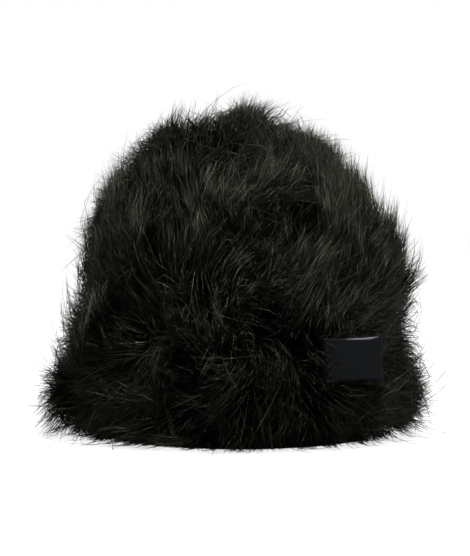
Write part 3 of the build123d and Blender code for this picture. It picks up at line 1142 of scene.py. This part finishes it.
def gore_cloth(dome, cloth):
    """One gore of the ground cloth as a closed grid, its first seam in the plane of +X.

    Round each row run the outer face, the edge that turns in along the far seam, the inner
    face and the edge along the near seam. A place is given by its depth from the outer
    face and its distance c from the nearer seam's plane, so its plan angle from that
    plane is asin(c / radius), where the sine is at most 0.49. A wave of 0.12 mm lifts the
    cloth between the seams. Also gives the flat pattern's coordinates: the distance round
    from the gore's centre line, and the run up it.
    """
    middle, outward = cloth_rows(dome, cloth)
    thick, gap, bend = cloth.ground_thickness, 0.1 * MM, 0.5 * MM
    turn_in = cloth.seam_allowance * smooth(middle[:, 1], 4.1 * MM, 6.0 * MM)
    turn_in[:4] = 0
    depths, sides = [], []
    for top, c in ((0.0, gap), (thick, gap + thick)):
        length = thick + 0.1 * MM + turn_in[:, None] - top
        down = top + bend + length * np.linspace(1, 0, 5)
        over = np.broadcast_to([top + 0.29 * bend, top], (len(middle), 2))
        depths.append(np.concatenate([down, over], 1))
        sides.append(np.array([c] * 5 + [c + 0.29 * bend, c + bend]))
    whole = 2 * np.pi / len(GORES)

    def angle(depth, c):
        radius = middle[:, :1] + outward[:, :1] * (0.5 * thick - depth)
        return np.arcsin(np.minimum(c / np.maximum(radius, 1e-5), 0.49))

    rows, turns = [], []
    for depth, c, way in ((depths[0], sides[0], 1), (depths[1], sides[1], -1)):
        near = angle(depth, c)
        share = np.linspace(0, 1, 16)[1:-1]
        face = near[:, -1:] + (whole - 2 * near[:, -1:]) * share
        flat = np.broadcast_to(depth[:, -1:], face.shape)
        rows.append(np.concatenate([depth, flat, depth[:, ::-1]], 1)[:, ::way])
        turns.append(np.concatenate([near, face, whole - near[:, ::-1]], 1)[:, ::way])
    depth, turn = np.concatenate(rows, 1), np.concatenate(turns, 1)
    wave = 0.12 * MM * np.sin(9 * turn + middle[:, 1:] / (6 * MM))
    off = 0.5 * thick - depth + wave * np.sin(np.pi * turn / whole) ** 2
    radius = middle[:, :1] + outward[:, :1] * off
    grid = polar(radius, turn, middle[:, 1:] + outward[:, 1:] * off)

    run = run_length(middle)
    u = (turn - whole / 2) * middle[:, :1] + np.sign(turn - whole / 2) * depth
    pattern = np.stack([u, np.broadcast_to(run[:, None], u.shape)], -1)
    pattern = np.concatenate([pattern, pattern[:, :1]], 1)
    return grid, np.concatenate([pattern, pattern[-1:]])


def turned(grid, angle):
    """A grid turned about +Z by an angle."""
    c, s = np.cos(angle), np.sin(angle)
    return grid @ np.array([[c, s, 0], [-s, c, 0], [0, 0, 1]])


class WINDSCREEN_OT_ground(bpy.types.Operator):
    """Cut and bend the knitted gores that carry the pile."""

    bl_idname = "windscreen.ground"
    bl_label = "Ground cloth"

    def execute(self, context):
        cloth = context.scene.windscreen_cloth
        grid, pattern = gore_cloth(cloth_dome(), cloth)
        for number, gore in enumerate(GORES):
            placed = turned(grid, seam_angles()[0] + (number - 1) * 2 * np.pi / len(GORES))
            name, materials = f"ground_cloth_{gore}", (finish("backing_knit"),)
            piece = shells(name, placed[None], pattern, materials)
            stand_in(piece, f"ground_{gore}")
        return {"FINISHED"}


class WINDSCREEN_OT_base_panel(bpy.types.Operator):
    """Turn the stretch panel: its folded rim, its gathers and the hem round the opening.

    Its middle line is a row of places in millimetres: out along the turned edge, round the
    rim and in along the underside, then up the opening, over the elastic and down behind
    it to the hem's foot. The gathers are the gather depth times half of one plus the
    cosine of an uneven phase. They lift the underside near the opening and push the two
    walls of the hem apart. The hem's stitches draw the underside up by 0.15 mm. The cloth
    coordinates are the distance round at 27 mm from the middle, and the run along.
    """

    bl_idname = "windscreen.base_panel"
    bl_label = "Base panel"

    def execute(self, context):
        cloth = context.scene.windscreen_cloth
        rim, top = np.array(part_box("base_panel")[1])[[0, 2]] / MM
        half = 0.5 * cloth.panel_thickness / MM
        inner = opening_radius() / MM + half
        outer, fold = inner + 3.0, top - half
        turned_edge = [(rim - 5.2, 1.8), (rim - 3.5, 1.8), (rim - 1.6, 1.8), (rim - 0.25, 1.85)]
        underside = [
            (rim - 0.25, 0.35), (rim - 1.6, half), (rim - 4, half), (rim - 8, half),
            (rim - 12, half), (inner + 2, half), (inner + 0.7, half), (inner, half),
        ]
        hem = [
            (inner, 1.6), (inner, 4), (inner, 6.5), (inner, fold - 0.9),
            (inner + 0.4, fold + 0.1), (inner + 1.5, fold + 0.4), (outer - 0.4, fold + 0.1),
            (outer, fold - 0.9), (outer, 6.5), (outer, 3.2), (outer, 1.5),
            (outer + 1, 1.4), (outer + 2.3, 1.4), (outer + 3.5, 1.4),
        ]
        middle = soft_line(np.array(turned_edge + underside + hem) * MM, CLOTH_ROWS)
        radius, height = cloth_outline(middle, cloth.panel_thickness).T
        azimuth = np.arange(264)[:, None] * 2 * np.pi / 264
        phase = cloth.gather_count * azimuth + 0.8 * np.sin(3 * azimuth)
        fold_wave = np.cos(phase + 0.5 * np.sin(7 * azimuth + 1))
        gather = cloth.gather_depth * (0.5 + 0.5 * fold_wave)
        wall = smooth(height, 1.6 * MM, 3.5 * MM)
        way = np.tanh((radius - 0.5 * (inner + outer) * MM) / (0.5 * MM))
        near = np.exp(-np.maximum(radius - inner * MM, 0) / (4 * MM)) * (1 - wall)
        stitch_line = (outer + 2.25) * MM
        drawn_in = np.exp(-(((radius - stitch_line) / (0.7 * MM)) ** 2))
        z = height + gather * near + 0.15 * MM * drawn_in * (height < 1.2 * MM)
        grid = polar(radius + 0.6 * gather * wall * way, azimuth, z)

        run = run_length(middle)
        run = np.concatenate([run, run[-2:0:-1], run[:1]])
        around = np.append(azimuth[:, 0], 2 * np.pi) * 27 * MM
        pattern = np.stack(np.meshgrid(around, run, indexing="ij"), -1)
        materials = (finish("stretch_knit"),)
        piece = shells("stretch_panel", grid[None], pattern, materials, ring=True)
        stand_in(piece, "base_panel")
        return {"FINISHED"}


def thread_uv(grid, thickness):
    """Cloth coordinates of a thread: the run along it, and the way round its girth."""
    rows, columns = np.arange(grid.shape[-3] + 1), np.arange(grid.shape[-2] + 1)
    stride = np.linalg.norm(np.diff(grid[0, :, 0], axis=0), axis=-1).mean()
    girth = columns * np.pi * thickness / grid.shape[-2]
    return np.stack(np.meshgrid(rows * stride, girth, indexing="ij"), -1)


def overlock(seam, half_width, half_depth, thickness, turns, closed):
    """An overlock thread's grid: loops that wrap a seam's raw edges, one to each turn.

    At the angle a of a turn the thread lies half_width * cos(a)^0.6 across the seam and
    half_depth * sin(a)^0.6 into the dome, with the sign of the cosine and the sine, so the
    loops are rounded rectangles. seam is a function of the share of the seam from 0 to 1.
    It gives its centre and the ways across it, into the dome and along it.
    """
    count = LOOP_POINTS * turns
    share = np.arange(count) / (count if closed else count - 1)
    a = 2 * np.pi * turns * share
    side, deep = (np.sign(f) * np.abs(f) ** 0.6 for f in (np.cos(a), np.sin(a)))
    centre, across, into, along = seam(share)
    path = centre + (half_width * side)[:, None] * across + (half_depth * deep)[:, None] * into
    return sweep(path, round_section(0.5 * thickness, 5), along)


class WINDSCREEN_OT_overlocks(bpy.types.Operator):
    """Wrap the raw edges of the side seams and of the base seam in overlock thread.

    The side seams' threads follow the dome inside the cloth, from just over the underside
    of their space in the frame to 3.6 mm from the middle of the crown.
    """

    bl_idname = "windscreen.overlocks"
    bl_label = "Overlock threads"

    def execute(self, context):
        cloth, dome = context.scene.windscreen_cloth, cloth_dome()
        thick, thread = cloth.thread_thickness, finish("spun_thread")
        inset = cloth.ground_thickness + cloth.seam_allowance - 0.85 * MM
        run = np.linspace(0, dome.length, 400)
        radius, height, tilt = dome.outline(run)
        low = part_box("seam_overlock_front")[0][2]
        kept = height - inset * np.sin(tilt) > low + 0.2 * MM
        run = run[kept & (radius - inset * np.cos(tilt) > 3.6 * MM)]

        def side_seam(share):
            r, z, tilt = dome.outline(run[0] + share * (run[-1] - run[0]))
            into = np.stack([-np.cos(tilt), 0 * tilt, -np.sin(tilt)], -1)
            along = np.stack([-np.sin(tilt), 0 * tilt, np.cos(tilt)], -1)
            centre = np.stack([r, 0 * r, z], -1) + inset * into
            return centre, np.array([0.0, 1.0, 0.0]), into, along

        turns = int((run[-1] - run[0]) / cloth.loop_pitch)
        grid = overlock(side_seam, 1.6 * MM, 1.15 * MM, thick, turns, closed=False)
        pattern = thread_uv(grid[None], thick)
        for number, gore in enumerate(GORES):
            placed = turned(grid, seam_angles()[number])
            piece = shells(f"overlock_thread_{gore}", placed[None], pattern, (thread,))
            stand_in(piece, f"seam_overlock_{gore}")

        low, high = (np.array(side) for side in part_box("base_seam_overlock"))
        middle = 0.5 * (low[2] + high[2])
        ring = high[0] - 1.25 * MM

        def base_seam(share):
            outwards = polar(1, 2 * np.pi * share, 0.0)
            return ring * outwards + [0, 0, middle], outwards, UP, np.cross(UP, outwards)

        half_depth = 0.5 * (high[2] - low[2]) - 0.5 * thick
        turns = int(2 * np.pi * ring / cloth.loop_pitch)
        grid = overlock(base_seam, 1.1 * MM, half_depth, thick, turns, closed=True)
        pattern = thread_uv(grid[None], thick)
        piece = shells("base_overlock_thread", grid[None], pattern, (thread,), ring=True)
        stand_in(piece, "base_seam_overlock")
        return {"FINISHED"}


def stitches(name, starts, ends, outward, thickness):
    """Short stitches, each one thread that sinks into the cloth at both ends.

    At the share t from -1 to 1 of a stitch its thread lies outward by
    thickness * (0.3 - 0.9 t^6) from the line between its ends, and is
    thickness * (1 - 0.35 t^2) thick.
    """
    t = np.linspace(-1, 1, 9)[:, None]
    line = 0.5 * ((1 - t) * starts[:, None] + (1 + t) * ends[:, None])
    path = line + thickness * (0.3 - 0.9 * t**6) * outward[:, None]
    section = round_section(0.5 * thickness, 6) * (1 - 0.35 * t**2)[..., None]
    section = np.broadcast_to(section, (len(starts), *section.shape))
    grids = sweep(path, section, outward[:, None])
    return shells(name, grids, thread_uv(grids, thickness), (finish("spun_thread"),))


class WINDSCREEN_OT_elastic(bpy.types.Operator):
    """Lay the elastic in the hem, lap its ends and sew the lap and the hem's foot.

    The elastic's corners are cosines to the power 0.5 across and sines to the power 0.25
    up, with their signs. Its last turn steps outwards over its start. The hem is stitched
    on both faces of its foot, and the lap in four columns of six stitches.
    """

    bl_idname = "windscreen.elastic"
    bl_label = "Elastic and hem stitches"

    def execute(self, context):
        cloth = context.scene.windscreen_cloth
        low, high = levels("elastic_band")
        thick, lap, ramp = 0.7 * MM, np.radians(34), np.radians(20)
        inner = opening_radius() + cloth.panel_thickness + 0.1 * MM + 0.5 * thick
        azimuth = np.linspace(0, 2 * np.pi + lap, 420)
        line = inner + (thick + 0.1 * MM) * smooth(azimuth, 2 * np.pi - ramp, 2 * np.pi)
        path = polar(line, azimuth, 0.5 * (low + high))
        a = np.linspace(0, 2 * np.pi, 36, endpoint=False)
        corner = np.stack([np.cos(a), np.sin(a)], -1)
        corner = np.sign(corner) * np.abs(corner) ** [0.5, 0.25]
        section = corner * [0.5 * thick, 0.5 * (high - low)]
        grid = sweep(path, section, UP)
        across = np.append(section[:, 1], section[0, 1])
        pattern = np.stack(np.meshgrid(np.append(run_length(path), 0), across, indexing="ij"), -1)
        piece = shells("elastic_tape", grid[None], pattern, (finish("braided_elastic"),))
        stand_in(piece, "elastic_band")

        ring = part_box("hem_stitching")[1][0] - 0.2 * MM
        turn = np.arange(cloth.stitch_count) * 2 * np.pi / cloth.stitch_count
        half = 0.5 * cloth.stitch_length / ring
        heights = levels("hem_stitching")[0], 0.24 * MM
        starts = np.concatenate([polar(ring, turn - half, z) for z in heights])
        ends = np.concatenate([polar(ring, turn + half, z) for z in heights])
        outward = np.repeat([UP, -UP], len(turn), axis=0)
        piece = stitches("hem_stitches", starts, ends, outward, cloth.thread_thickness)
        stand_in(piece, "hem_stitching")

        bottom, top = levels("elastic_lap_stitches")
        face = inner + 1.5 * thick + 0.1 * MM
        columns, steps = np.meshgrid(lap / 5 * np.arange(1, 5), np.linspace(bottom, top, 7)[:-1])
        outward = polar(1, columns.ravel(), 0.0)
        starts = outward * face + steps.ravel()[:, None] * UP
        ends = starts + 0.8 * (top - bottom) / 6 * UP
        piece = stitches("lap_stitches", starts, ends, outward, cloth.thread_thickness)
        stand_in(piece, "elastic_lap_stitches")
        return {"FINISHED"}


# ------------------------------------------------------------------ label


class WINDSCREEN_OT_label(bpy.types.Operator):
    """Fold the woven ribbon into the loop label, with its two ends in the seam.

    Its plan is a row of places in millimetres, along the resting label and out of the
    pile: from one end up along the face, round the loop and back along the reverse. The
    face sinks by the skew and narrows by 0.08 towards the loop, the loop sinks by 0.4 of
    the skew, and the reverse by 1.2 of it. The section is as thick as the ribbon and
    rounded at the edges, with a Gaussian cord 0.45 mm from each.
    """

    bl_idname = "windscreen.label"
    bl_label = "Label"

    def execute(self, context):
        cloth, label = context.scene.windscreen_cloth, context.scene.windscreen_label
        crease, beside, out = label_axes()
        reach = label_reach() / MM
        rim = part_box("base_panel")[1][0]
        inner = np.hypot(*crease[:2]) - rim + cloth.ground_thickness + cloth.seam_allowance
        inner = -inner / MM
        bow = label.bow / MM
        near_end = [
            (-0.16, inner), (-0.16, 0.6 * inner), (-0.16, 0.3 * inner), (-0.16, -2.0),
            (-0.18, -0.7), (-0.22, 0.28),
        ]
        face = [
            (0.7, 0.50), (3.0, 0.62 + 0.5 * bow), (0.4 * reach, 0.75 + bow),
            (0.75 * reach, 0.85 + bow), (reach, 0.95 + 0.7 * bow),
        ]
        loop = [
            (reach + 0.85, 0.75 + 0.5 * bow), (reach + 1.0, 0.0), (reach + 0.75, -0.75),
        ]
        reverse = [
            (reach, -0.88), (0.75 * reach, -0.72), (0.4 * reach, -0.5), (3.0, -0.36),
            (1.0, -0.26), (0.2, -0.40),
        ]
        far_end = [
            (0.16, -1.0), (0.16, -2.0), (0.16, 0.3 * inner), (0.16, 0.6 * inner), (0.16, inner),
        ]
        plan = soft_line(np.array(near_end + face + loop + reverse + far_end) * MM, 200)
        run = run_length(plan)
        low, high = levels("label_flap")
        share = run / run[-1]
        turning = smooth(share, 0.43, 0.50)
        slack = smooth(share, 0.18, 0.42) * (1 - turning)
        lift = -label.skew * (slack + 0.4 * turning + 0.8 * smooth(share, 0.50, 0.72))
        path = crease * [1, 1, 0] + plan[:, :1] * beside + plan[:, 1:] * out
        path[:, 2] = 0.5 * (low + high) + lift

        half = 0.5 * (high - low)
        across = np.linspace(-1, 1, 25)
        across = np.sign(across) * (1 - (1 - np.abs(across)) ** 1.6)
        from_edge = (1 - np.abs(across)) * half
        edge = np.clip(from_edge / label.thickness, 0, 1)
        cord = 0.18 * np.exp(-((from_edge / MM - 0.45) / 0.2) ** 2)
        side = 0.5 * label.thickness * (np.sqrt(edge * (2 - edge)) + cord)
        height = across * half
        front, back = np.stack([side, height], -1), np.stack([-side, height], -1)
        grid = sweep(path, np.concatenate([front, back[-2:0:-1]]), UP)
        grid[..., 2] -= 0.08 * slack[:, None] * (grid[..., 2] - path[:, 2:3])

        columns = np.concatenate([height, height[-2:0:-1], height[:1]])
        uv = np.stack(np.meshgrid(np.append(run, run[-1]), columns, indexing="ij"), -1)
        materials = (finish("label_satin"), finish("label_reverse"))
        slots = np.repeat([0, 1, 0], [26, 20, 2])
        piece = shells("woven_label", grid[None], uv, materials, slots=slots)
        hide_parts("label_tab", "label_flap")
        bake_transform(piece)
        return {"FINISHED"}


# ------------------------------------------------------------------ stage


# Name, place in metres, size in metres and power in watts of each square lamp.
LAMPS = (
    ("key_light", (0.10, -0.26, 0.92), 0.25, 13.0),
    ("left_light", (-0.75, 0.1, 0.65), 0.4, 1.2),
    ("right_light", (0.8, -0.05, 0.5), 0.4, 3.0),
)
LAMP_TARGET = np.array([0, 0, 0.04])

# Half the width of the floor, and the paleness that the camera sees on it.
FLOOR_HALF = 0.7
FLOOR_SEEN = (0.88, 0.88, 0.88, 1)

# How far the camera stands from its target and how far above it, the width that it sees
# there, and the width of its sensor in millimetres.
CAMERA_TARGET = np.array([-0.0013, 0.0, 0.0411])
CAMERA_DISTANCE = 0.9
CAMERA_ELEVATION = np.radians(4.0)
CAMERA_VIEW = 0.12314
CAMERA_SENSOR = 36.0


def put_up(name, data, place, target):
    """A lamp or camera at a place, pointed at a target and upright."""
    thing = bpy.data.objects.new(name, data)
    bpy.context.scene.collection.objects.link(thing)
    thing.location = place
    thing.rotation_euler = Vector(target - place).to_track_quat("-Z", "Y").to_euler()
    return thing


class WINDSCREEN_OT_stage(bpy.types.Operator):
    """Lay the pale floor and set the soft lights and the camera."""

    bl_idname = "windscreen.stage"
    bl_label = "Stage"

    def execute(self, context):
        scene = context.scene
        scene.view_settings.view_transform = "Standard"
        mesh = bpy.data.meshes.new("floor")
        low, high = -FLOOR_HALF, FLOOR_HALF
        corners = [(low, low, 0), (high, low, 0), (high, high, 0), (low, high, 0)]
        mesh.from_pydata(corners, [], [(0, 1, 2, 3)])
        floor = bpy.data.objects.new("floor", mesh)
        scene.collection.objects.link(floor)
        material, graph, shader = new_material("white_floor")
        graph.feed(shader, {
            "Base Color": (0.3, 0.3, 0.3, 1),
            "Roughness": 0.8,
            "Specular IOR Level": 0.1,
            "Emission Strength": graph.add("LightPath").outputs["Is Camera Ray"],
            "Emission Color": FLOOR_SEEN,
        })
        mesh.materials.append(material)

        world = bpy.data.worlds.new("studio")
        scene.world = world
        world.use_nodes = True
        graph = Graph(world.node_tree)
        seen = graph.add("LightPath").outputs["Is Camera Ray"]
        strength = graph.value_between(seen, 0.06, 1.0)
        graph.feed(
            world.node_tree.nodes["Background"], {"Color": (1, 1, 1, 1), "Strength": strength}
        )

        for name, place, size, power in LAMPS:
            light = bpy.data.lights.new(name, "AREA")
            light.shape = "SQUARE"
            light.size = size
            light.energy = power
            put_up(name, light, np.array(place), LAMP_TARGET)

        camera = bpy.data.cameras.new("camera")
        camera.sensor_fit = "HORIZONTAL"
        camera.sensor_width = CAMERA_SENSOR
        camera.lens = CAMERA_SENSOR * CAMERA_DISTANCE / CAMERA_VIEW
        camera.clip_start = 0.01
        away = np.array([0, -np.cos(CAMERA_ELEVATION), np.sin(CAMERA_ELEVATION)])
        place = CAMERA_TARGET + CAMERA_DISTANCE * away
        scene.camera = put_up("camera", camera, place, CAMERA_TARGET)
        return {"FINISHED"}


class WINDSCREEN_PT_panel(bpy.types.Panel):
    """The windscreen's settings and the steps that make it."""

    bl_label = "Windscreen"
    bl_space_type = "VIEW_3D"
    bl_region_type = "UI"
    bl_category = "Windscreen"

    def draw(self, context):
        for name in SETTINGS:
            box = self.layout.box()
            group = getattr(context.scene, name)
            for key in group.__annotations__:
                box.prop(group, key)
        for step in STEPS:
            self.layout.operator(step.bl_idname)


SETTINGS = {
    "windscreen_cut": WindscreenCut,
    "windscreen_pile": WindscreenPile,
    "windscreen_cloth": WindscreenCloth,
    "windscreen_label": WindscreenLabel,
}
STEPS = (
    WINDSCREEN_OT_ground,
    WINDSCREEN_OT_overlocks,
    WINDSCREEN_OT_base_panel,
    WINDSCREEN_OT_elastic,
    WINDSCREEN_OT_pile,
    WINDSCREEN_OT_label,
    WINDSCREEN_OT_stage,
)


def register():
    """Registers the classes and hangs the settings on the scene."""
    for cls in (*SETTINGS.values(), *STEPS, WINDSCREEN_PT_panel):
        bpy.utils.register_class(cls)
    for name, cls in SETTINGS.items():
        setattr(bpy.types.Scene, name, bpy.props.PointerProperty(type=cls))


def unregister():
    """Takes the settings off the scene and unregisters the classes."""
    for name in SETTINGS:
        delattr(bpy.types.Scene, name)
    for cls in reversed((*SETTINGS.values(), *STEPS, WINDSCREEN_PT_panel)):
        bpy.utils.unregister_class(cls)


def main():
    """Makes every piece and the stage."""
    register()
    bpy.ops.windscreen.ground()
    bpy.ops.windscreen.overlocks()
    bpy.ops.windscreen.base_panel()
    bpy.ops.windscreen.elastic()
    bpy.ops.windscreen.pile()
    bpy.ops.windscreen.label()
    bpy.ops.windscreen.stage()


if __name__ == "__main__":
    main()
